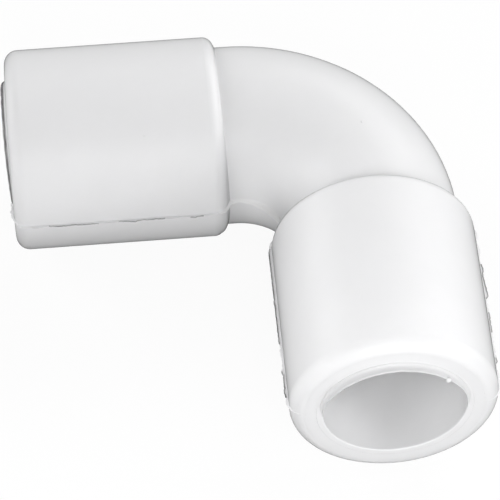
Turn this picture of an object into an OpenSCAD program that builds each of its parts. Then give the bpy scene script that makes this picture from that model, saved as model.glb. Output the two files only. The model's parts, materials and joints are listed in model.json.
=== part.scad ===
// Right-angle push-fit elbow for plain round pipe, lying on its cuffs.
// Origin: on the surface it rests on, under the middle of its outline. +Z is up.
// The left socket opens towards -X and the front socket towards -Y.

/* [Pipe] */
// Outside diameter of the pipe that each socket takes
pipe_d = 15; // [14.8:0.1:15.1]
// Radial clearance of the release sleeve round the pipe
sleeve_clearance = 0.05; // [0.05:0.01:0.1]
// Depth from the mouth to the ledge that the pipe stops on
stop_depth = 21.4; // [20.6:0.1:22]

/* [Elbow] */
// Outside diameter of the two cuffs
cuff_d = 22; // [21.6:0.1:26]
// Length of each cuff, from the mouth to the middle of its shoulder
cuff_len = 22.6; // [22.5:0.1:30]
// Rounding round the outside of the mouth
mouth_round = 1.5; // [0.5:0.1:1.5]
// Rounding at the top of the shoulder, as a share of its step down to the tube
round_share = 0.8; // [0.3:0.05:1.1]
// Slope of the shoulder, in degrees from the socket's axis
shoulder_slope = 65; // [50:1:75]
// Straight run from the middle of the shoulder to the bend
neck_len = 1.6; // [1:0.1:6]
// Radius of the bend, measured to the middle of the tube
bend_r = 14.25; // [12:0.25:30]
// Radius of the bent tube in the plane of the bend
tube_r = 9.45; // [9:0.05:10]
// Flat land on each side of the mould joint, half its height
joint_land = 0.5; // [0.1:0.1:0.6]
// Radius of the waterway through the bend
waterway_r = 6.7; // [6:0.1:7]

/* [Cartridge] */
// Radius of the chamber that holds the sealing and gripping parts
chamber_r = 9.4; // [9.3:0.05:9.5]
// Travel of the release sleeve from rest until it meets the teeth
sleeve_travel = 1.8; // [1:0.1:1.8]
// Number of teeth round each grab ring
tooth_count = 18; // [12:1:24]

/* [Hidden] */
$fn = 96;

// Outline
cuff_r = cuff_d / 2;
reach = bend_r + neck_len + cuff_len;    // mouth to the other socket's axis
half_span = (reach + cuff_r) / 2;        // half of the overall length and width
axis_xy = half_span - cuff_r;            // where the two socket axes cross, in X and in Y
mouth_xy = axis_xy - reach;              // the left mouth in X, and the front mouth in Y
centre_xy = axis_xy - bend_r;            // centre of the bend, in X and in Y

// Shoulder, in half section: a rounding, a straight slope and a fillet
step_down = cuff_r - tube_r;
round_r = round_share * step_down;
fillet_r = 0.1;
turn = [cos(shoulder_slope), sin(shoulder_slope)];   // points straight out of the slope
slope_len = (step_down - (round_r + fillet_r) * (1 - turn[0])) / turn[1];
shoulder_len = (round_r + fillet_r) * turn[1] + slope_len * turn[0];
shoulder_depth = cuff_len - shoulder_len / 2;        // where the rounding begins

// Radial sizes of the cartridge
pipe_r = pipe_d / 2;
guide_r = pipe_r + 0.1;                  // body bore that steadies the pipe's end
sleeve_bore_r = pipe_r + sleeve_clearance;
nose_r = sleeve_bore_r + 0.65;           // front of the release sleeve
tail_r = sleeve_bore_r + 0.7;            // back of the release sleeve
collar_r = sleeve_bore_r + 1.2;          // collar that the end cap holds back
slip = 0.06;                             // running clearance of the sleeve in the cap
recess_r = collar_r + 0.1;
loose_r = chamber_r - 0.05;              // rings that drop into the chamber
bite_r = pipe_r - 0.15;                  // tips of the teeth, with no pipe in
seal_bite_r = pipe_r - 0.1;              // inside of the O-ring, with no pipe in

// Depths from the mouth
lip_depth = 7;                           // cap: end of its narrow front
collar_depth = lip_depth + 0.1;
collar_len = 1.2;
sleeve_end = 11.6;
cap_end = collar_depth + collar_len + sleeve_travel + 0.2;
rim_depth = 12.9;                        // front of the grab ring's flat rim
steel = 0.3;                             // thickness of the grab ring
tooth_len = 1.15;                        // depth of the cone of teeth
seal_depth = 16;                         // front of the O-ring's groove
groove_len = 2.4;
tooth_gap = 0.7;

// Stands a turned part, drawn with its mouth at z = 0 and its depth along +Z, in a socket.
module in_left_socket() {
    translate([mouth_xy, axis_xy, cuff_r]) rotate([0, 90, 0]) children();
}
module in_front_socket() {
    translate([axis_xy, mouth_xy, cuff_r]) rotate([-90, 0, 0]) children();
}

// Half section of a ring, between two radii and two depths.
module ring_section(inner, outer, from, to) {
    translate([inner, from]) square([outer - inner, to - from]);
}

// The bent tube's section: two half rounds with a short land between them.
module tube_section() {
    for (side = [-1, 1]) translate([0, side * joint_land]) circle(tube_r);
    square([2 * tube_r, 2 * joint_land], center = true);
}

// Half section of a cuff of a given radius: a rounded mouth, a straight barrel, and the shoulder.
module cuff_section(outer) {
    top = [outer - round_r, shoulder_depth];             // middle of the upper rounding
    foot_r = outer - step_down;
    foot = [foot_r + fillet_r, shoulder_depth + shoulder_len];   // middle of the fillet
    translate([0, mouth_round]) square([outer, top[1] - mouth_round]);
    square([outer - mouth_round, top[1]]);
    translate([outer - mouth_round, mouth_round]) circle(mouth_round);
    translate(top) circle(round_r);
    difference() {
        polygon([[0, top[1]], top, top + round_r * turn, foot - fillet_r * turn, [foot_r, foot[1]],
            [0, foot[1]]]);
        translate(foot) circle(fillet_r);
    }
}

module cuff() {
    rotate_extrude() cuff_section(cuff_r);
}

// The shoulder runs on a little on the inside of the bend. That part is a slimmer cuff, deeper in
// and with its axis moved towards that side, -X here, so that it dies away round the tube.
module inner_shoulder() {
    aside = 0.5;
    deeper = 0.25;
    sunk = 0.05;                         // keeps its barrel just under the cuff's
    translate([-aside, 0, deeper]) rotate_extrude() cuff_section(cuff_r - aside - sunk);
}

module neck() {
    overlap = 2;                         // runs this far back into the cuff
    translate([0, 0, cuff_len - overlap]) linear_extrude(neck_len + overlap)
        children();
}

// Swept quarter of a circle round the bend's centre, from a section drawn round the tube's middle.
module round_the_bend() {
    translate([centre_xy, centre_xy, cuff_r]) rotate_extrude(angle = 90)
        translate([bend_r, 0]) children();
}

module socket_hollow() {
    past = 1;                            // cuts run this far past an open end
    translate([0, 0, -past]) cylinder(r = chamber_r, h = past + seal_depth + groove_len);
    cylinder(r = guide_r, h = stop_depth);
    cylinder(r = waterway_r, h = cuff_len + neck_len + 0.01);
}

module elbow_body() {
    color("white") difference() {
        union() {
            in_left_socket() cuff();
            in_front_socket() cuff();
            in_left_socket() rotate(90) inner_shoulder();
            in_front_socket() inner_shoulder();
            in_left_socket() neck() rotate(90) tube_section();
            in_front_socket() neck() tube_section();
            round_the_bend() tube_section();
        }
        in_left_socket() socket_hollow();
        in_front_socket() socket_hollow();
        round_the_bend() circle(waterway_r);
    }
}

// Pressed into the mouth, flush with it. Its lip holds the release sleeve in.
module end_cap() {
    color("white") rotate_extrude() {
        ring_section(nose_r + slip, chamber_r, 0, lip_depth);
        ring_section(recess_r, chamber_r, lip_depth, cap_end);
    }
}

// Flush with the mouth at rest. Pushed in towards the bend, it spreads the teeth and lets the pipe go.
module release_sleeve() {
    lead_in = 0.15;                      // rounding that leads the pipe in
    edge = 0.05;                         // rounding next to the end cap
    bevel = 0.5;
    color("white") rotate_extrude() {
        translate([sleeve_bore_r + lead_in, lead_in]) circle(lead_in);
        translate([nose_r - edge, edge]) circle(edge);
        ring_section(sleeve_bore_r, sleeve_bore_r + lead_in, lead_in, collar_depth);
        ring_section(sleeve_bore_r + lead_in, nose_r - edge, 0, collar_depth);
        ring_section(nose_r - edge, nose_r, edge, collar_depth);
        ring_section(sleeve_bore_r, collar_r, collar_depth, collar_depth + collar_len);
        ring_section(sleeve_bore_r, tail_r, collar_depth + collar_len, sleeve_end - bevel);
        translate([0, sleeve_end - bevel])
            polygon([[sleeve_bore_r, 0], [tail_r, 0], [tail_r - bevel, bevel], [sleeve_bore_r, bevel]]);
    }
}

// Backs the teeth when the pipe is pulled.
module thrust_ring() {
    color("gainsboro") rotate_extrude()
        ring_section(tail_r + 0.1, loose_r, cap_end, rim_depth);
}

// Stamped ring with a flat rim and a cone of teeth that lean in and away from the mouth.
module grab_ring() {
    root_r = 8.6;
    slot_r = root_r + 0.1;
    color("silver") difference() {
        rotate_extrude() translate([0, rim_depth]) polygon([
            [loose_r, 0], [loose_r, steel], [root_r, steel], [bite_r, steel + tooth_len],
            [bite_r, tooth_len], [root_r, 0]]);
        for (k = [0 : tooth_count - 1]) rotate(k * 360 / tooth_count)
            translate([0, -tooth_gap / 2, rim_depth - 1]) cube([slot_r, tooth_gap, tooth_len + 2]);
    }
}

// Keeps the teeth off the O-ring. Its front is a cone that leaves the teeth room to bend.
module spacer_ring() {
    bore_r = pipe_r + 0.25;
    cone_r = bore_r + 1;
    cone_depth = 15;
    front = rim_depth + steel;
    color("gainsboro") rotate_extrude() polygon([
        [loose_r, front], [loose_r, seal_depth], [bore_r, seal_depth], [bore_r, cone_depth],
        [cone_r, front]]);
}

module o_ring() {
    cord_r = (loose_r - seal_bite_r) / 2;
    color("dimgray") rotate_extrude()
        translate([seal_bite_r + cord_r, seal_depth + groove_len / 2]) circle(cord_r);
}

elbow_body();
in_left_socket() end_cap();  // left_end_cap
in_left_socket() release_sleeve();  // left_release_sleeve
in_left_socket() thrust_ring();  // left_thrust_ring
in_left_socket() grab_ring();  // left_grab_ring
in_left_socket() spacer_ring();  // left_spacer_ring
in_left_socket() o_ring();  // left_o_ring
in_front_socket() end_cap();  // front_end_cap
in_front_socket() release_sleeve();  // front_release_sleeve
in_front_socket() thrust_ring();  // front_thrust_ring
in_front_socket() grab_ring();  // front_grab_ring
in_front_socket() spacer_ring();  // front_spacer_ring
in_front_socket() o_ring();  // front_o_ring
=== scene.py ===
import json
import math

import bmesh
import bpy
from mathutils import Matrix, Vector, noise
from mathutils.bvhtree import BVHTree

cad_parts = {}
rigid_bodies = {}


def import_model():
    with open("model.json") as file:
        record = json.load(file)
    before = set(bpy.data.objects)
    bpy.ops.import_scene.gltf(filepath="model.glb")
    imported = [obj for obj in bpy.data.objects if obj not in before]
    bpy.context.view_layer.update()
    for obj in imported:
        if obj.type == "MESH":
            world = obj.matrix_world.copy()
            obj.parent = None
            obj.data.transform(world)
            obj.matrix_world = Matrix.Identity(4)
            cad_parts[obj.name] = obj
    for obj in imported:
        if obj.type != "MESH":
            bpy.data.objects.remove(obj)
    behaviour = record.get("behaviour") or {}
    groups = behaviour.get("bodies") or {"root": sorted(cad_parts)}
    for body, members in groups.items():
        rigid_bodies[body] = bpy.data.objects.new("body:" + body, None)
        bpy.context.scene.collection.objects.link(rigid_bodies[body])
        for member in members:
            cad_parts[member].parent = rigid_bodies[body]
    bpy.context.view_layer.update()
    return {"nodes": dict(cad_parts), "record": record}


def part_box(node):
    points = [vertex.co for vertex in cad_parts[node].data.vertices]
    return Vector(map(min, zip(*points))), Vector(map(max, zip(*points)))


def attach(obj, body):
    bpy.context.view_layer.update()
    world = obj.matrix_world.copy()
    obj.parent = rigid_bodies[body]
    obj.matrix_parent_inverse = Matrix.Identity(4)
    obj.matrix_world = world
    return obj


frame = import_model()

mm = 0.001                         # everything below is in metres

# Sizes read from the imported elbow
body = frame["nodes"]["elbow_body"]
bodyLow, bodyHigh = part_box("elbow_body")
mounts = {m["name"]: m for m in frame["record"]["mounts"]}
axisXY = mounts["left_socket"]["pos_m"][1]      # both socket axes lie this far from the middle
jointZ = (bodyLow.z + bodyHigh.z) / 2           # height of the mould joint
cuffRadius = (bodyHigh.z - bodyLow.z) / 2
mouthXY = bodyLow.x                             # the left mouth in X, the front mouth in Y


photoSize = 500                    # the photograph is square
imagePoints = {
    "objectLeft": (0.6, 97.0),
    "objectRight": (498.6, 400.0),
    "objectTop": (204.5, 37.3),
    "objectBottom": (378.5, 462.7),
    "boreLowEdge": (383.0, 449.2),
    "seamAtMouth": (24.0, 226.4),
    "seamAtShoulder": (212.0, 213.4),
    "leftFlashTop": (269.5, 248.5),
    "leftFlashEnd": (278.5, 345.0),
    "leftChipTop": (282.0, 372.0),
    "leftChipEnd": (286.5, 398.5),
    "rightFlashTop": (480.0, 264.0),
    "rightFlashEnd": (486.5, 298.5),
    "rightChip": (490.0, 322.0),
    "rightNib": (495.0, 361.0),
    "rimNub": (448.6, 380.5),
    "boreGlintTop": (410.0, 394.0),
    "boreGlintLeft": (352.0, 416.0),
    "whiteSpeck": (144.0, 136.0),
    "bendSpeck": (361.7, 121.7),
}

cameraView = {
    "azimuth": -4.113,             # degrees, 0 looks along +Y
    "elevation": 52.016,
    "roll": -0.876,
    "distance": 382.16 * mm,
    "aim": (0.47 * mm, -1.791 * mm, 10.07 * mm),
    "lens": 254.54,
    "sensorWidth": 36.0,
    "clip": (0.01, 50),            # metres
}


def outwards(azimuth, elevation):  # direction out from the elbow, in degrees; azimuth 0 is the front
    turn, rise = math.radians(azimuth), math.radians(elevation)
    return Vector((math.sin(turn) * math.cos(rise), -math.cos(turn) * math.cos(rise), math.sin(rise)))


def makeCamera(view):
    data = bpy.data.cameras.new("camera")
    data.sensor_fit = "AUTO"
    data.sensor_width = view["sensorWidth"]
    data.lens = view["lens"]
    data.clip_start, data.clip_end = view["clip"]
    cam = bpy.data.objects.new("camera", data)
    bpy.context.scene.collection.objects.link(cam)
    azimuth, roll = math.radians(view["azimuth"]), math.radians(view["roll"])
    back = outwards(view["azimuth"], view["elevation"])
    level = Vector((math.cos(azimuth), math.sin(azimuth), 0))
    above = back.cross(level)
    right = level * math.cos(roll) + above * math.sin(roll)
    up = back.cross(right)
    turn = Matrix((right, up, back)).transposed().to_4x4()
    cam.matrix_world = Matrix.Translation(Vector(view["aim"]) + back * view["distance"]) @ turn
    bpy.context.scene.camera = cam
    bpy.context.view_layer.update()
    return cam


camera = makeCamera(cameraView)


def sightLine(point):              # start and direction of the ray through an image point
    data, place = camera.data, camera.matrix_world
    x, y = point
    half = photoSize / 2
    ray = Vector((x - half + data.shift_x * photoSize, half - y + data.shift_y * photoSize,
                  -photoSize * data.lens / data.sensor_width))
    return place.translation, (place.to_3x3() @ ray).normalized()


def treeOf(piece):                 # its surface, to look up places on
    made = bmesh.new()
    made.from_mesh(piece.data)
    tree = BVHTree.FromBMesh(made)
    made.free()
    return tree


def placeAt(point, tree, rounds=20):   # place and normal on a piece under an image point
    start, direction = sightLine(point)
    hit, normal, _, _ = tree.ray_cast(start, direction)
    if hit is None:                # a miss takes the place nearest the ray, which the rounds close in on
        depth = (Vector(cameraView["aim"]) - start).length
        for _ in range(rounds):
            hit, normal, _, _ = tree.find_nearest(start + direction * depth)
            depth = (hit - start).dot(direction)
    return hit, normal


print("camera set")


def linear(code):                  # sRGB hex to the linear colour that the shader works in
    channels = [int(code[k:k + 2], 16) / 255 for k in (1, 3, 5)]
    curve = [c / 12.92 if c <= 0.04045 else ((c + 0.055) / 1.055) ** 2.4 for c in channels]
    return (*curve, 1.0)


def add(tree, kind, settings=None, inputs=None):   # one shader node, with its settings and links
    made = tree.nodes.new(kind)
    for name, value in (settings or {}).items():
        setattr(made, name, value)
    for name, value in (inputs or {}).items():
        socket = made.inputs[name]
        if isinstance(value, bpy.types.NodeSocket):
            tree.links.new(value, socket)
        else:
            socket.default_value = value
    return made


def newMaterial(name):
    material = bpy.data.materials.new(name)
    material.use_nodes = True
    tree = material.node_tree
    tree.nodes.clear()
    return material, tree, add(tree, "ShaderNodeTexCoord").outputs["Object"]


def finishMaterial(tree, **inputs):
    shader = add(tree, "ShaderNodeBsdfPrincipled", inputs=inputs)
    add(tree, "ShaderNodeOutputMaterial", inputs={"Surface": shader.outputs["BSDF"]})


polypropylene = {
    "colour": "#f1f1f2", "cloud": "#efeff0",   # milky white, with slightly darker clouds
    "cloudSize": 7 * mm, "cloudEdge": (0.35, 0.65),   # flow clouds in the moulding, and how soft they are
    "peelSize": 0.9 * mm, "peelDepth": 0.004 * mm,   # faint orange peel from the mould
    "grainSize": 0.12 * mm, "grainDepth": 0.0006 * mm,
    "roughness": 0.36, "shinier": 0.03, "duller": 0.05,   # and how far it varies with the peel
    "ior": 1.49, "gloss": 0.14,
    "glow": 0.15, "glowDepth": 1.2 * mm,       # light travels this far inside the wall
    "shadeCoatWeight": 1.0, "grainAndShadeCoat": "#f6f6f6", "shadeCoatRoughness": 0.3,   # coat tint, darker at a slant: painted shade along the outlines
    "cover": 1.0,                              # below 1 the piece is thin enough to see through
}


def mouldedPlastic(name, look):    # moulded plastic: a soft milky body with a satin gloss, under a coat tint that paints shade at a slant
    material, tree, place = newMaterial(name)
    cloud = add(tree, "ShaderNodeTexNoise", {"noise_dimensions": "3D"},
                {"Vector": place, "Scale": 1 / look["cloudSize"], "Detail": 3.0, "Roughness": 0.55})
    clear, dense = look["cloudEdge"]
    blend = add(tree, "ShaderNodeMapRange", inputs={
        "Value": cloud.outputs["Fac"], "From Min": clear, "From Max": dense})
    colour = add(tree, "ShaderNodeMix", {"data_type": "RGBA"}, {"Factor": blend.outputs["Result"]})
    colour.inputs[6].default_value = linear(look["colour"])
    colour.inputs[7].default_value = linear(look["cloud"])
    peel = add(tree, "ShaderNodeTexNoise", {"noise_dimensions": "3D"},
               {"Vector": place, "Scale": 1 / look["peelSize"], "Detail": 2.0})
    grain = add(tree, "ShaderNodeTexNoise", {"noise_dimensions": "3D"},
                {"Vector": place, "Scale": 1 / look["grainSize"], "Detail": 1.0})
    waves = add(tree, "ShaderNodeBump", inputs={
        "Height": peel.outputs["Fac"], "Strength": 1.0, "Distance": look["peelDepth"]})
    grainAndShadeCoat = add(tree, "ShaderNodeBump", inputs={
        "Height": grain.outputs["Fac"], "Strength": 1.0, "Distance": look["grainDepth"],
        "Normal": waves.outputs["Normal"]})
    shine = add(tree, "ShaderNodeMapRange", inputs={
        "Value": peel.outputs["Fac"], "From Min": 0.3, "From Max": 0.7,
        "To Min": look["roughness"] - look["shinier"], "To Max": look["roughness"] + look["duller"]})
    finishMaterial(tree, **{
        "Base Color": colour.outputs[2], "Roughness": shine.outputs["Result"], "IOR": look["ior"],
        "Normal": grainAndShadeCoat.outputs["Normal"], "Subsurface Weight": look["glow"],
        "Subsurface Radius": (1.0, 1.0, 0.95), "Subsurface Scale": look["glowDepth"],
        "Specular IOR Level": look["gloss"], "Alpha": look["cover"],
        # the coat tint darkens the plastic at a slant: painted shade along its outlines
        "Coat Weight": look["shadeCoatWeight"], "Coat Roughness": look["shadeCoatRoughness"], "Coat IOR": 1.0,
        "Coat Tint": linear(look["grainAndShadeCoat"])})
    return material


acetal = dict(polypropylene, colour="#e7e7e8", cloud="#e5e5e6", roughness=0.34, ior=1.48, shadeCoatWeight=0.0)
thinRidge = dict(polypropylene, colour="#e3e3e3", cloud="#e1e1e1", glow=0.0, shadeCoatWeight=0.0)
naturalAcetal = dict(acetal, colour="#e6e5df", cloud="#dfded7")
facePlastic = dict(polypropylene, glow=0.0)   # the sleeve's front, which looks as the body does
# Dark grey looks for the strips along the flash, the seam and the left film's edge: painted shade where those
# edges fall into shadow
flashShadeLook = dict(polypropylene, colour="#6e6e6e", cloud="#b4b4b4", cloudSize=1.3 * mm, glow=0.0)
filmShadeLook = dict(flashShadeLook, colour="#8c8c8c", cloud="#b0b0b0")
seamShadeLook = dict(flashShadeLook, colour="#a2a2a2", cloud="#d6d6d6")
thinFlash = dict(acetal, glow=0.0, cover=0.8)   # a film so thin that a little shows through it

springSteel = {
    "colour": "#b8b7b3", "streak": "#a3a29f",
    "roughness": 0.28, "shinier": 0.06, "duller": 0.08,
    "grainLength": 0.6 * mm, "grainWidth": 0.05 * mm,
}


def stampedSteel(name, look):      # rolled stainless strip: fine streaks, bright and hard
    material, tree, place = newMaterial(name)
    along, across = 1 / look["grainLength"], 1 / look["grainWidth"]
    stretch = add(tree, "ShaderNodeMapping", {"vector_type": "POINT"}, {
        "Vector": place, "Scale": (along, across, across)})
    streak = add(tree, "ShaderNodeTexNoise", inputs={
        "Vector": stretch.outputs["Vector"], "Scale": 1.0, "Detail": 2.0})
    tint = add(tree, "ShaderNodeMix", {"data_type": "RGBA"}, {"Factor": streak.outputs["Fac"]})
    tint.inputs[6].default_value = linear(look["colour"])
    tint.inputs[7].default_value = linear(look["streak"])
    shine = add(tree, "ShaderNodeMapRange", inputs={
        "Value": streak.outputs["Fac"],
        "To Min": look["roughness"] - look["shinier"], "To Max": look["roughness"] + look["duller"]})
    finishMaterial(tree, **{"Base Color": tint.outputs[2], "Metallic": 1.0,
                            "Roughness": shine.outputs["Result"]})
    return material


sealRubber = {
    "colour": "#1c1c1e", "bloom": "#2b2b2c", "roughness": 0.55, "ior": 1.52,
    "grainSize": 0.25 * mm, "grainDepth": 0.004 * mm, "grainStrength": 0.6,
}


def mouldedRubber(name, look):     # EPDM: dull black with a faint grey bloom
    material, tree, place = newMaterial(name)
    grain = add(tree, "ShaderNodeTexNoise", inputs={
        "Vector": place, "Scale": 1 / look["grainSize"], "Detail": 3.0})
    tint = add(tree, "ShaderNodeMix", {"data_type": "RGBA"}, {"Factor": grain.outputs["Fac"]})
    tint.inputs[6].default_value = linear(look["colour"])
    tint.inputs[7].default_value = linear(look["bloom"])
    dull = add(tree, "ShaderNodeBump", inputs={
        "Height": grain.outputs["Fac"], "Strength": look["grainStrength"], "Distance": look["grainDepth"]})
    finishMaterial(tree, **{"Base Color": tint.outputs[2], "Roughness": look["roughness"],
                            "IOR": look["ior"], "Normal": dull.outputs["Normal"]})
    return material


whiteBody = mouldedPlastic("polypropylene moulded white", polypropylene)
whiteSleeve = mouldedPlastic("acetal moulded white", acetal)
naturalRing = mouldedPlastic("acetal moulded natural", naturalAcetal)
whiteFace = mouldedPlastic("acetal moulded face", facePlastic)
# dark grey finishes for the strips along the flash, the seam and the left film's edge: painted shade
flashShadeFinish = mouldedPlastic("polypropylene flash painted shade", flashShadeLook)
filmShadeFinish = mouldedPlastic("acetal flash torn", filmShadeLook)
seamShadeFinish = mouldedPlastic("polypropylene seam painted shade", seamShadeLook)
whiteRidge = mouldedPlastic("polypropylene moulded thin", thinRidge)
thinFilm = mouldedPlastic("acetal flash film", thinFlash)
ringSteel = stampedSteel("stainless spring steel stamped", springSteel)
blackSeal = mouldedRubber("EPDM rubber moulded black", sealRubber)
finishes = {"elbow_body": whiteBody, "end_cap": whiteBody, "release_sleeve": whiteSleeve,
            "thrust_ring": naturalRing, "spacer_ring": naturalRing, "grab_ring": ringSteel,
            "o_ring": blackSeal}
for nodeName, part in frame["nodes"].items():
    finish = next(f for ending, f in finishes.items() if nodeName.endswith(ending))
    part.data.materials.clear()
    part.data.materials.append(finish)
print("materials set on", len(frame["nodes"]), "CAD pieces")


def addPiece(name, made, material, carrier):   # a mesh as a piece that rides on a body
    mesh = bpy.data.meshes.new(name)
    made.to_mesh(mesh)
    made.free()
    mesh.materials.append(material)
    for face in mesh.polygons:
        face.use_smooth = True
    piece = bpy.data.objects.new(name, mesh)
    bpy.context.scene.collection.objects.link(piece)
    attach(piece, carrier)
    return piece


def sweep(rings, closed=False):    # a skin over rings of places that have the same number of corners
    made = bmesh.new()
    corners = [[made.verts.new(place) for place in ring] for ring in rings]
    for a, b in zip(corners, corners[1:] + corners[:1] if closed else corners[1:]):
        for k in range(len(a)):
            made.faces.new((a[k - 1], a[k], b[k], b[k - 1]))
    if not closed:
        made.faces.new(corners[0])
        made.faces.new(corners[-1][::-1])
    bmesh.ops.recalc_face_normals(made, faces=made.faces)
    return made


mouldJoint = {
    "bendRadius": 14.25 * mm,      # to the middle of the bent tube
    "chamberRadius": 9.42 * mm,    # the section inside this is the chamber, not the outside
    "innerEnd": 8.3 * mm,          # the line stops just short of the release sleeve
    "proud": 0.27 * mm, "proudOnMouth": 0.015 * mm,
    "uneven": 0.8, "fine": 0.4, "flashUneven": 0.12,   # shares of its height, and of the flash's
    "mouthRound": 1.5 * mm,
    "leftMouthFlash": 0.25 * mm,   # on the flat of the left mouth, inside the bend only
    "ridge": (0.28 * mm, 0.32 * mm),   # inside the bend: at its ends, and the rise to its middle
    "ridgeFoot": 0.44 * mm, "ridgeUneven": 0.12,
    "shoulderDepth": 22.2 * mm,
    "cornerDepth": 23.8 * mm, "cornerWide": 0.35 * mm,   # where the shoulder meets the tube
    "cornerFill": 0.18 * mm,
    "thick": 0.22 * mm, "thickUneven": 0.3,
    "under": 0.6,                  # its lower side is this much steeper
    "rooted": 0.06 * mm,           # this much of it is inside the wall
    "lump": 1.3 * mm,
    "wander": 0.04 * mm, "wanderLumps": 3,   # it strays up and down over three lumps
    "step": 0.12 * mm, "fadeSteps": 3,       # it fades out over its last steps
    "lift": 0.15 * mm,             # the mould halves meet this far above the middle
    "band": 0.05 * mm,             # half height of the band that its image points are found on
    "fewest": 20,                  # an outline with fewer points is a stray
    "seamShadeSpans": [(3.6 * mm, 9.2 * mm), (11.2 * mm, 16.4 * mm), (19.0 * mm, 20.6 * mm)],   # stretches on the left cuff where a strip of painted shade runs along the seam
}

# Flash that stands further out, by the image points where it begins and ends; lengths in millimetres
flashPieces = [
    {"side": "inner", "from": "leftFlashTop", "to": "leftFlashEnd",
     "proud": (0.38, 0.34), "ends": (0.5, 0.1)},
    {"side": "inner", "from": "leftChipTop", "to": "leftChipEnd",
     "proud": (0.34, 0.26), "ends": (1.2, 0.5)},
    {"side": "outer", "from": "rightFlashTop", "to": "rightFlashEnd",
     "proud": (0.10, 0.50), "ends": (0.3, 0.4)},
    {"side": "outer", "from": "rightChip", "long": 2.6, "proud": (0.20, 0.24), "ends": (0.6, 0.3)},
    {"side": "outer", "from": "rightNib", "long": 0.7, "proud": (0.26, 0.26), "ends": (0.3, 0.3)},
]


def offCentre(place, look):        # distance from the middle line of the elbow, in its plane
    corner = axisXY - look["bendRadius"]
    if place.x < corner:
        return abs(place.y - axisXY)
    if place.y < corner:
        return abs(place.x - axisXY)
    return abs(math.hypot(place.x - corner, place.y - corner) - look["bendRadius"])


def jointOutlines(look):           # the outside edge of the body where the mould halves meet
    level = jointZ + look["lift"]
    cut = bmesh.new()
    cut.from_mesh(body.data)
    bmesh.ops.remove_doubles(cut, verts=cut.verts, dist=0.001 * mm)
    bmesh.ops.bisect_plane(cut, geom=cut.verts[:] + cut.edges[:] + cut.faces[:],
                           plane_co=(0, 0, level), plane_no=(0, 0, 1),
                           clear_inner=True, clear_outer=True)
    outside = {v for v in cut.verts if offCentre(v.co, look) > look["chamberRadius"]}
    chains = []
    while outside:
        ends = [v for v in outside if sum(e.other_vert(v) in outside for e in v.link_edges) < 2]
        step = min(ends or outside, key=lambda v: v.co.x)
        chain = []
        while step:
            chain.append(step.co.copy())
            outside.discard(step)
            step = next((e.other_vert(step) for e in step.link_edges if e.other_vert(step) in outside), None)
        if len(chain) > look["fewest"]:
            chains.append(chain)
    cut.free()
    named = {}
    for name, side in (("inner", -1), ("outer", 1)):
        chain = min(chains, key=lambda c: abs(c[0].y - (axisXY + side * cuffRadius)))
        rim = axisXY + side * look["innerEnd"]
        named[name] = [Vector((mouthXY, rim, level))] + chain + [Vector((rim, mouthXY, level))]
    return named


def evenSteps(points, step):       # the same line with points at even steps, and how long a step is
    lengths = [0.0]
    for a, b in zip(points, points[1:]):
        lengths.append(lengths[-1] + (b - a).length)
    count = max(2, round(lengths[-1] / step))
    made, k = [], 0
    for i in range(count + 1):
        along = lengths[-1] * i / count
        while k < len(points) - 2 and lengths[k + 1] < along:
            k += 1
        span = lengths[k + 1] - lengths[k] or 1
        made.append(points[k].lerp(points[k + 1], (along - lengths[k]) / span))
    return made, lengths[-1] / count


def flashHeight(along, span, piece):   # how far a piece of flash stands out, at a place along the line
    first, last = span
    if not first < along < last:
        return 0.0
    share = (along - first) / (last - first)
    rise, fall = (e * mm for e in piece["ends"])
    shape = min(1.0, ((along - first) / rise) ** 0.5, ((last - along) / fall) ** 0.5)
    low, high = piece["proud"]
    return (low + (high - low) * share) * mm * shape


def bandTree(line, half):          # the mould joint as a narrow band, to find its image points on
    rise = Vector((0, 0, half))
    corners = [corner for place in line for corner in (place - rise, place + rise)]
    return BVHTree.FromPolygons(corners, [(k, k + 2, k + 3, k + 1) for k in range(0, len(corners) - 2, 2)])


def alongLine(point, line, step, band):   # how far along the line an image point is
    place, _ = placeAt(imagePoints[point], band)
    return min(range(len(line)), key=lambda i: (line[i] - place).length) * step


def flashSpan(piece, line, step, band):   # where a piece of flash begins and ends along the line
    first = alongLine(piece["from"], line, step, band)
    if "to" in piece:
        return first, alongLine(piece["to"], line, step, band)
    return first - piece["long"] * mm / 2, first + piece["long"] * mm / 2


def jointHeight(place, side, look):   # how far the line stands out of the wall, and half its foot
    depth = min(place.x, place.y) - mouthXY
    corner = axisXY - look["bendRadius"]
    bendDepth = corner - mouthXY
    thin = look["thick"] / 2
    if depth < look["mouthRound"]:
        flat = look["leftMouthFlash"] if side == "inner" and place.x < place.y else look["proudOnMouth"]
        return flat + (look["proud"] - flat) * depth / look["mouthRound"], thin
    if side == "outer" or depth < look["shoulderDepth"]:
        return look["proud"], thin
    ends, rise = look["ridge"]
    grown = min(1.0, (depth - look["shoulderDepth"]) / (bendDepth - look["shoulderDepth"]))
    turned = math.atan2(max(0.0, place.x - corner), max(0.0, place.y - corner))
    middle = math.sin(2 * turned) ** 2 if grown == 1.0 else 0.0
    fill = math.exp(-((depth - look["cornerDepth"]) / look["cornerWide"]) ** 2)
    proud = look["proud"] + (ends - look["proud"]) * grown + rise * middle + look["cornerFill"] * fill
    return proud, thin + (look["ridgeFoot"] - thin) * grown


# Half of the line's section and its mirror image: share of its height, share of its half width
bellSide = [(0.0, 1.0), (0.12, 0.78), (0.36, 0.52), (0.7, 0.3), (0.94, 0.12)]
jointBell = bellSide + [(1.0, 0.0)] + [(share, -z) for share, z in reversed(bellSide)]


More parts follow.
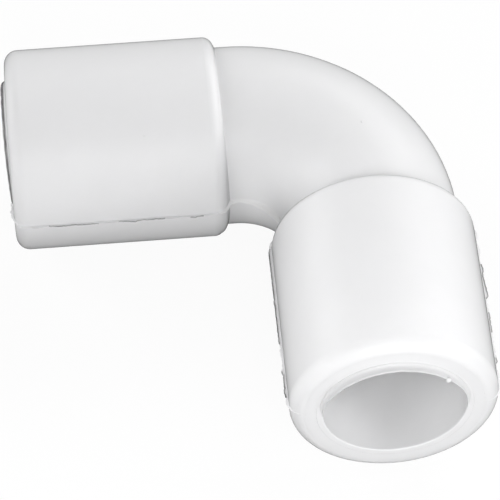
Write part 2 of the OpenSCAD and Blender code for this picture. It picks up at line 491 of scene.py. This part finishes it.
def jointSections(side, line, step, flash, look, seed):   # the line's section at every step
    sign = 1 if side == "outer" else -1
    rings = []
    for i, place in enumerate(line):
        along = i * step
        ahead, behind = line[min(i + 2, len(line) - 1)], line[max(i - 2, 0)]
        run = (ahead - behind).normalized()
        out = Vector((-run.y, run.x, 0)) * sign
        lumps = along / look["lump"]
        rough = noise.noise(Vector((lumps, seed, 0)))
        fine = noise.noise(Vector((lumps * 4, seed, 9)))
        proud, foot = jointHeight(place, side, look)
        uneven = look["uneven"] if foot < look["thick"] else look["ridgeUneven"]
        proud *= 1 + uneven * (rough + look["fine"] * fine)
        extra = max([flashHeight(along, span, piece) for piece, span in flash] + [0.0])
        proud = max(proud, extra * (1 + look["flashUneven"] * fine))
        proud *= min(1.0, (i + 1) / look["fadeSteps"], (len(line) - i) / look["fadeSteps"])
        rise = look["wander"] * noise.noise(Vector((lumps / look["wanderLumps"], seed, 5)))
        wide = max(foot, look["thick"] / 2 * (1 + look["thickUneven"] * fine))
        bell = [(share * proud - look["rooted"] * (1 - share), z * wide * (1 if z > 0 else look["under"]))
                for share, z in jointBell]
        rings.append([place + out * o + Vector((0, 0, z + rise)) for o, z in bell])
    return rings


# Strips of painted shade along the edge of the line, out and up from it: the one along the seam is narrower
flashShadeSection = [(-0.09 * mm, 0.07 * mm), (0.02 * mm, 0.03 * mm), (0.02 * mm, -0.03 * mm),
                 (-0.09 * mm, -0.07 * mm)]
seamShadeSection = [(out, z * 0.6) for out, z in flashShadeSection]
jointTip = len(bellSide)           # which corner of the line's section is its edge


def makeShadeStrip(name, rings, section, finish):   # a dark grey strip along an edge: painted shade
    strip = []
    for ring in rings:
        edge, foot = ring[jointTip], (ring[0] + ring[-1]) / 2
        out = (edge - foot).normalized()
        strip.append([edge + out * o + Vector((0, 0, z)) for o, z in section])
    addPiece(name, sweep(strip), finish, "fitting")


def makeJointLine(side, outline, look, seed):   # the inner line is a thicker ridge round the bend
    line, step = evenSteps(outline, look["step"])
    band = bandTree(line, look["band"])
    flash = [(piece, flashSpan(piece, line, step, band)) for piece in flashPieces
             if piece["side"] == side]
    rings = jointSections(side, line, step, flash, look, seed)
    # strips of painted shade along each flash piece's edge, and along stretches of the seam
    for piece, (first, last) in flash:
        run = rings[round(first / step):round(last / step) + 1]
        makeShadeStrip("flash_shade_strip_" + piece["from"], run, flashShadeSection, flashShadeFinish)
    for k, (first, last) in enumerate(look["seamShadeSpans"] if side == "inner" else []):
        run = [ring for ring, place in zip(rings, line)
               if first < place.x - mouthXY < last and place.x < place.y]
        makeShadeStrip(f"seam_shade_strip_{k + 1}", run, seamShadeSection, seamShadeFinish)
    past = [i for i, place in enumerate(line)
            if min(place.x, place.y) - mouthXY > look["shoulderDepth"]]
    parts = {"outer": (rings, whiteBody)} if side == "outer" else {
        "left": (rings[:past[0] + 1], whiteBody), "bend": (rings[past[0]:past[-1] + 1], whiteRidge),
        "front": (rings[past[-1]:], whiteBody)}
    return {name: addPiece("mould_joint_" + name, sweep(part), finish, "fitting")
            for name, (part, finish) in parts.items()}


for lineSeed, (lineSide, jointOutline) in enumerate(jointOutlines(mouldJoint).items()):
    makeJointLine(lineSide, jointOutline, mouldJoint, lineSeed)


mouthFilm = {                      # thin flash left standing round the upper half of each bore
    "radius": 7.60 * mm, "thick": 0.06 * mm, "rooted": 0.36 * mm,
    "foot": 0.45 * mm, "footRise": 0.3 * mm,   # the foot is narrower where the film is lower than this
    "ragged": 0.08, "lump": 7,     # share of its height, and the degrees from one lump to the next
    "lowest": 0.01 * mm, "steps": 96,
    "front": {"from": -6, "to": 184, "ends": (72, 60), "proud": 0.86 * mm, "lean": 0.0},
    "left": {"from": 36, "to": 180, "ends": (34, 3), "proud": 0.54 * mm,
             "lean": 0.75},        # it gets this much lower towards the inside of the bend
}
# From the film's tip down to the face: shares of the foot's width and of the film's height
footCurve = [(0.06, 0.7), (0.16, 0.42), (0.34, 0.2), (0.62, 0.06), (1.0, 0.0)]

filmShadeStrip = {                        # a dark grey strip along the left film's edge: painted shade
    "down": 0.20 * mm, "inside": 0.02 * mm, "outside": 0.12 * mm, "over": 0.01 * mm,
}

jointFin = {                       # a fin where the left film meets the mould joint
    "from": 178.2, "to": 181.2,    # degrees round the bore
    "end": 8.22 * mm, "proud": 0.24 * mm,
    "crest": [(0.0, 0.8), (0.12 * mm, 1.15), (0.3 * mm, 1.0)],   # distances out, shares of its height
}

sleeveFace = {                     # a thin skin on the sleeve's front, which closes its gap to the end cap
    "bore": 7.554 * mm, "round": 0.15 * mm, "roundSteps": 15,   # in degrees
    "edge": 8.25 * mm, "edgeStep": 0.01 * mm,
    "flatFrom": 0.03 * mm, "flatTo": (0.05 * mm, 0.02 * mm),   # points that keep its face flat, from its ends
    "proud": 0.004 * mm, "rooted": 0.12 * mm, "steps": 192,
}


def socketPlace(side, radius, angle, depth):   # angle from the outer side of the elbow, over the top
    across, height = axisXY + radius * math.cos(angle), jointZ + radius * math.sin(angle)
    return (mouthXY + depth, across, height) if side == "left" else (across, mouthXY + depth, height)


def roundRing(side, angle, section):   # a section of radii and depths, at one angle round a socket
    return [socketPlace(side, radius, angle, depth) for radius, depth in section]


def filmHeights(side, look, seed):   # angle and height of the film at every step round the bore
    own = look[side]
    first, last = own["from"], own["to"]
    rise, fall = own["ends"]
    heights = []
    for i in range(look["steps"] + 1):
        turn = first + (last - first) * i / look["steps"]
        grown = min(1.0, (turn - first) / rise, (last - turn) / fall)
        lower = own["lean"] * max(0.0, turn / 90 - 1) ** 2
        height = own["proud"] * math.sin(math.pi / 2 * grown) * (1 - lower)
        height *= 1 + look["ragged"] * noise.noise(Vector((turn / look["lump"], seed, 3)))
        heights.append((math.radians(turn), max(height, look["lowest"])))
    return heights


def filmWall(look):                # inside and outside radius of the film
    return look["radius"] - look["thick"] / 2, look["radius"] + look["thick"] / 2


def filmSection(look, height):
    low, high = filmWall(look)
    foot = min(1.0, height / look["footRise"]) * look["foot"]
    slope = [(high + share * foot, -rest * height) for share, rest in footCurve]
    return [(low, look["rooted"]), (low, -height), (high, -height), *slope, (high, look["rooted"])]


def lipSection(look, lip, height):
    low, high = filmWall(look)
    top, foot = -height - lip["over"], lip["down"] - height
    return [(low - lip["inside"], foot), (low - lip["inside"], top), (high + lip["inside"], top),
            (high + lip["outside"], foot)]


def finSection(look, fin):
    crest = [(look["radius"] + out, -share * fin["proud"]) for out, share in fin["crest"]]
    return [(look["radius"], look["rooted"]), *crest, (fin["end"], -fin["proud"]),
            (fin["end"], look["rooted"])]


def makeMouthFilm(side, look, finish, seed):
    rings = [roundRing(side, angle, filmSection(look, height))
             for angle, height in filmHeights(side, look, seed)]
    return addPiece(side + "_mouth_film", sweep(rings), finish, side + "_sleeve")


# the left film's dark grey edge strip: painted shade
def makeFilmShadeStrip(look, lip, seed):
    rings = [roundRing("left", angle, lipSection(look, lip, height))
             for angle, height in filmHeights("left", look, seed)]
    return addPiece("left_mouth_film_shade_strip", sweep(rings), filmShadeFinish, "left_sleeve")


def makeJointFin(look, fin):
    sides = [roundRing("left", math.radians(fin[end]), finSection(look, fin)) for end in ("from", "to")]
    return addPiece("left_mouth_fin", sweep(sides), whiteFace, "left_sleeve")


def makeSleeveFace(side, look):
    middle, front, back = look["bore"] + look["round"], -look["proud"], look["rooted"]
    turns = [math.radians(a) for a in range(0, 91, look["roundSteps"])]
    arc = [(middle - look["round"] * math.cos(a), front + look["round"] * (1 - math.sin(a))) for a in turns]
    corner = look["edge"]
    flat = [(middle + look["flatFrom"], front), *((corner - inside, front) for inside in look["flatTo"])]
    section = [(look["bore"], back + look["round"]), *arc, *flat,
               (corner, front + look["edgeStep"]), (corner, back)]
    angles = [2 * math.pi * i / look["steps"] for i in range(look["steps"])]
    made = sweep([roundRing(side, angle, section) for angle in angles], closed=True)
    addPiece(side + "_sleeve_face", made, whiteFace, side + "_sleeve")


mouthFilms = [
    makeMouthFilm("left", mouthFilm, whiteFace, 0),
    makeFilmShadeStrip(mouthFilm, filmShadeStrip, 0),
    makeJointFin(mouthFilm, jointFin),
    makeMouthFilm("front", mouthFilm, thinFilm, 1),
]
for mouthSide in ("left", "front"):
    makeSleeveFace(mouthSide, sleeveFace)
print("mouth films and sleeve faces made")


burrs = {                          # radius in millimetres, how flat it is, and the piece that it sits on
    "rim_nub": {"point": "rimNub", "size": 0.29, "flat": 0.8, "on": "front_mouth_film"},
    "bore_glint_top": {"point": "boreGlintTop", "size": 0.08, "flat": 0.7, "on": "front_release_sleeve"},
    "bore_glint_left": {"point": "boreGlintLeft", "size": 0.07, "flat": 0.7, "on": "front_release_sleeve"},
    "cuff_speck": {"point": "whiteSpeck", "size": 0.10, "flat": 0.5, "on": "elbow_body"},
    "bend_speck": {"point": "bendSpeck", "size": 0.11, "flat": 0.5, "on": "elbow_body"},
}
burrSwell, burrLumps = 0.35, 1.3   # how far a burr is from round, and lumps in its radius


def makeBurr(name, look, seed):    # a lump that the mould left
    carrier = frame["nodes"].get(look["on"]) or bpy.data.objects[look["on"]]
    place, normal = placeAt(imagePoints[look["point"]], treeOf(carrier))
    radius = look["size"] * mm
    made = bmesh.new()
    bmesh.ops.create_icosphere(made, subdivisions=3, radius=radius)
    turn = normal.to_track_quat("Z", "Y").to_matrix()
    for v in made.verts:
        swell = 1 + burrSwell * noise.noise(v.co / radius * burrLumps + Vector((seed, 0, 0)))
        v.co = turn @ Vector((v.co.x * swell, v.co.y * swell, v.co.z * swell * look["flat"])) + place
    if look["on"] == "elbow_body":
        return addPiece(name, made, whiteBody, "fitting")
    return addPiece(name, made, whiteSleeve, "front_sleeve")


burrPieces = {name: makeBurr(name, look, seed) for seed, (name, look) in enumerate(burrs.items())}
print("burrs made:", ", ".join(burrPieces))


studio = {
    "floorColour": "#898988", "floorFibre": "#8c8c8c", "fibreSize": 2 * mm, "floorSize": 3.0,
    "floorSeen": "#fafafa",        # its colour for the camera, so that the shadow on it shows
    "floorWhite": 0.93,            # share of plain white that the camera sees in the floor
    "surround": "#ffffff",         # what shows past the floor; it gives no light
}


def seenDirectly(tree):            # 1 for what the camera, a reflection or clear plastic shows
    ray = add(tree, "ShaderNodeLightPath")
    glossy = add(tree, "ShaderNodeMath", {"operation": "MAXIMUM"}, {
        0: ray.outputs["Is Glossy Ray"], 1: ray.outputs["Is Transmission Ray"]})
    return add(tree, "ShaderNodeMath", {"operation": "MAXIMUM"}, {
        0: ray.outputs["Is Camera Ray"], 1: glossy.outputs["Value"]}).outputs["Value"]


def makeFloor(look):               # paper that lights the elbow as a grey sheet and looks nearly white
    made = bmesh.new()
    bmesh.ops.create_grid(made, x_segments=8, y_segments=8, size=look["floorSize"] / 2)
    mesh = bpy.data.meshes.new("floor")
    made.to_mesh(mesh)
    made.free()
    floor = bpy.data.objects.new("floor", mesh)
    bpy.context.scene.collection.objects.link(floor)
    material, tree, place = newMaterial("paper matt pale")
    fibre = add(tree, "ShaderNodeTexNoise", inputs={
        "Vector": place, "Scale": 1 / look["fibreSize"], "Detail": 3.0})
    tone = add(tree, "ShaderNodeMix", {"data_type": "RGBA"}, {"Factor": fibre.outputs["Fac"]})
    tone.inputs[6].default_value = linear(look["floorColour"])
    tone.inputs[7].default_value = linear(look["floorFibre"])
    seen = seenDirectly(tree)
    pale = add(tree, "ShaderNodeMix", {"data_type": "RGBA"}, {"Factor": seen})
    tree.links.new(tone.outputs[2], pale.inputs[6])
    pale.inputs[7].default_value = linear(look["floorSeen"])
    paper = add(tree, "ShaderNodeBsdfDiffuse", inputs={"Color": pale.outputs[2]})
    white = add(tree, "ShaderNodeEmission", inputs={"Strength": 1.0})
    share = add(tree, "ShaderNodeMath", {"operation": "MULTIPLY"}, {0: seen, 1: look["floorWhite"]})
    both = add(tree, "ShaderNodeMixShader", inputs={
        "Fac": share.outputs["Value"], 1: paper.outputs["BSDF"], 2: white.outputs["Emission"]})
    add(tree, "ShaderNodeOutputMaterial", inputs={"Surface": both.outputs["Shader"]})
    mesh.materials.append(material)


def makeSurround(look):            # white where it is seen directly
    world = bpy.data.worlds.new("surround")
    bpy.context.scene.world = world
    world.use_nodes = True
    tree = world.node_tree
    tree.nodes.clear()
    white = add(tree, "ShaderNodeBackground", inputs={
        "Color": linear(look["surround"]), "Strength": seenDirectly(tree)})
    add(tree, "ShaderNodeOutputWorld", inputs={"Surface": white.outputs["Background"]})


lamps = {                          # round soft boxes that face the elbow, in degrees, metres and watts
    "frontSoftbox": {"azimuth": 0, "elevation": 36, "distance": 0.16, "size": 0.1, "power": 0.142},
    "frontLow": {"azimuth": 22, "elevation": 10, "distance": 0.12, "size": 0.06, "power": 0.0180},
    "frontLeft": {"azimuth": -60, "elevation": 8, "distance": 0.6, "size": 0.4, "power": 1.60},
    "frontRight": {"azimuth": 60, "elevation": 8, "distance": 0.6, "size": 0.4, "power": 2.06},
    "right": {"azimuth": 120, "elevation": 20, "distance": 0.6, "size": 0.4, "power": 1.16},
    "backRight": {"azimuth": 150, "elevation": 30, "distance": 0.6, "size": 0.4, "power": 2.40},
    "backLeft": {"azimuth": 240, "elevation": 20, "distance": 0.6, "size": 0.4, "power": 2.20},
}


def makeLamp(name, look):
    back = outwards(look["azimuth"], look["elevation"])
    data = bpy.data.lights.new(name, "AREA")
    data.shape = "DISK"
    data.size = look["size"]
    data.energy = look["power"]
    lamp = bpy.data.objects.new(name, data)
    bpy.context.scene.collection.objects.link(lamp)
    lamp.visible_camera = False
    lamp.matrix_world = (Matrix.Translation(back * look["distance"] + Vector((0, 0, jointZ)))
                         @ back.to_track_quat("Z", "Y").to_matrix().to_4x4())


makeFloor(studio)
makeSurround(studio)
for lampName, lampLook in lamps.items():
    makeLamp(lampName, lampLook)
bpy.context.scene.view_settings.view_transform = "Standard"
print("studio set:", ", ".join(lamps))
